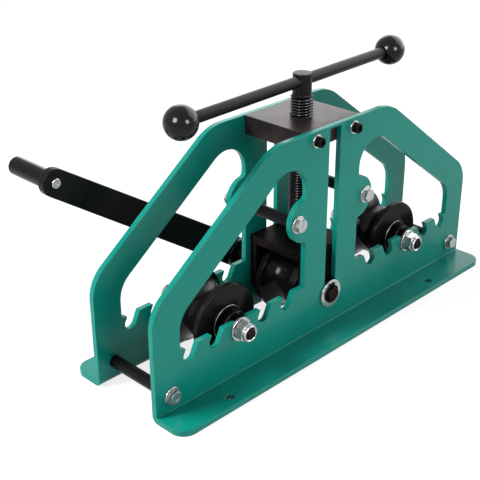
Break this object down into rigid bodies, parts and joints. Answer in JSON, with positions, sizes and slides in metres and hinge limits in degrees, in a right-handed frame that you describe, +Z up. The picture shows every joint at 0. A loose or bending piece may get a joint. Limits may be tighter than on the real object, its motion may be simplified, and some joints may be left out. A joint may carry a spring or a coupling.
{
  "type": "ring roller",
  "caption": "Hand-cranked ring roller: slotted side plates with bent feet, grooved dies, a screw-driven yoke under a ball-ended cross bar, and a long crank.",
  "frame": {"origin": "on the bench, at the centre of the four bench bolt holes in the feet", "axes": "+X along the side plates, away from the crank's handle at rest; +Y across the machine, from the front plate towards the crank; +Z up"},
  "size_m": [0.512, 0.2433, 0.2875],
  "materials": {
    "green_paint": "semi-gloss teal green powder coat",
    "black_oxide": "black oxide, lightly oiled",
    "black_paint": "satin black",
    "die_steel": "polished black oxide",
    "zinc": "bright zinc plate",
    "bronze": "turned bronze",
    "black_plastic": "glossy black"
  },
  "bodies": {
    "frame": {"front_side_plate": "green_paint", "rear_side_plate": "green_paint", "top_block": "black_oxide", "lower_left_tie": "black_paint", "lower_right_tie": "black_paint", "upper_left_tie": "black_paint", "upper_right_tie": "black_paint", "tie_bolts": "zinc", "tie_washers": "zinc", "block_screws": "black_oxide", "block_washers": "zinc", "left_axle": "black_oxide", "right_axle": "black_oxide", "left_sleeve": "bronze", "right_sleeve": "bronze", "axle_spacers": "black_paint", "axle_washers": "zinc", "axle_nuts": "zinc"},
    "left_roll": {"left_die": "die_steel"},
    "right_roll": {"right_die": "die_steel"},
    "carriage": {"yoke_plate": "black_oxide", "yoke_front_cheek": "black_oxide", "yoke_rear_cheek": "black_oxide", "yoke_screws": "black_oxide", "shaft_bushes": "bronze"},
    "drive": {"drive_shaft": "black_oxide", "middle_die": "die_steel", "die_key": "zinc", "guide_washers": "zinc", "shaft_rings": "black_oxide", "crank_hub": "black_paint", "crank_arm": "black_paint", "hub_set_screw": "black_oxide", "handle_bolt": "zinc"},
    "grip": {"crank_grip": "black_plastic"},
    "screw": {"lead_screw": "black_oxide", "screw_ring": "black_oxide"},
    "handle_bar": {"cross_bar": "black_paint", "left_ball_knob": "black_plastic", "right_ball_knob": "black_plastic"}
  },
  "joints": [
    {"name": "screw_turn", "type": "hinge", "parent": "carriage", "child": "screw", "pos_m": [0.011, 0, 0.2], "axis": [0, 0, 1], "range_deg": [0, 13680]},
    {"name": "carriage_lift", "type": "slide", "parent": "frame", "child": "carriage", "axis": [0, 0, 1], "range_m": [0, 0.114]},
    {"name": "bar_slide", "type": "slide", "parent": "screw", "child": "handle_bar", "axis": [0.9991, 0.0419, 0], "range_m": [-0.129, 0.147]},
    {"name": "crank_turn", "type": "hinge", "parent": "carriage", "child": "drive", "pos_m": [0.011, 0, 0.0425], "axis": [0, 1, 0], "continuous": true},
    {"name": "grip_spin", "type": "hinge", "parent": "drive", "child": "grip", "pos_m": [-0.23249, 0.13, 0.20367], "axis": [0, 1, 0], "continuous": true},
    {"name": "left_roll_spin", "type": "hinge", "parent": "frame", "child": "left_roll", "pos_m": [-0.1275, 0, 0.05732], "axis": [0, 1, 0], "continuous": true},
    {"name": "right_roll_spin", "type": "hinge", "parent": "frame", "child": "right_roll", "pos_m": [0.1495, 0, 0.05732], "axis": [0, 1, 0], "continuous": true}
  ],
  "couplings": [
    {"joint": "carriage_lift", "follows": "screw_turn", "m_per_rad": 0.00047746}
  ]
}
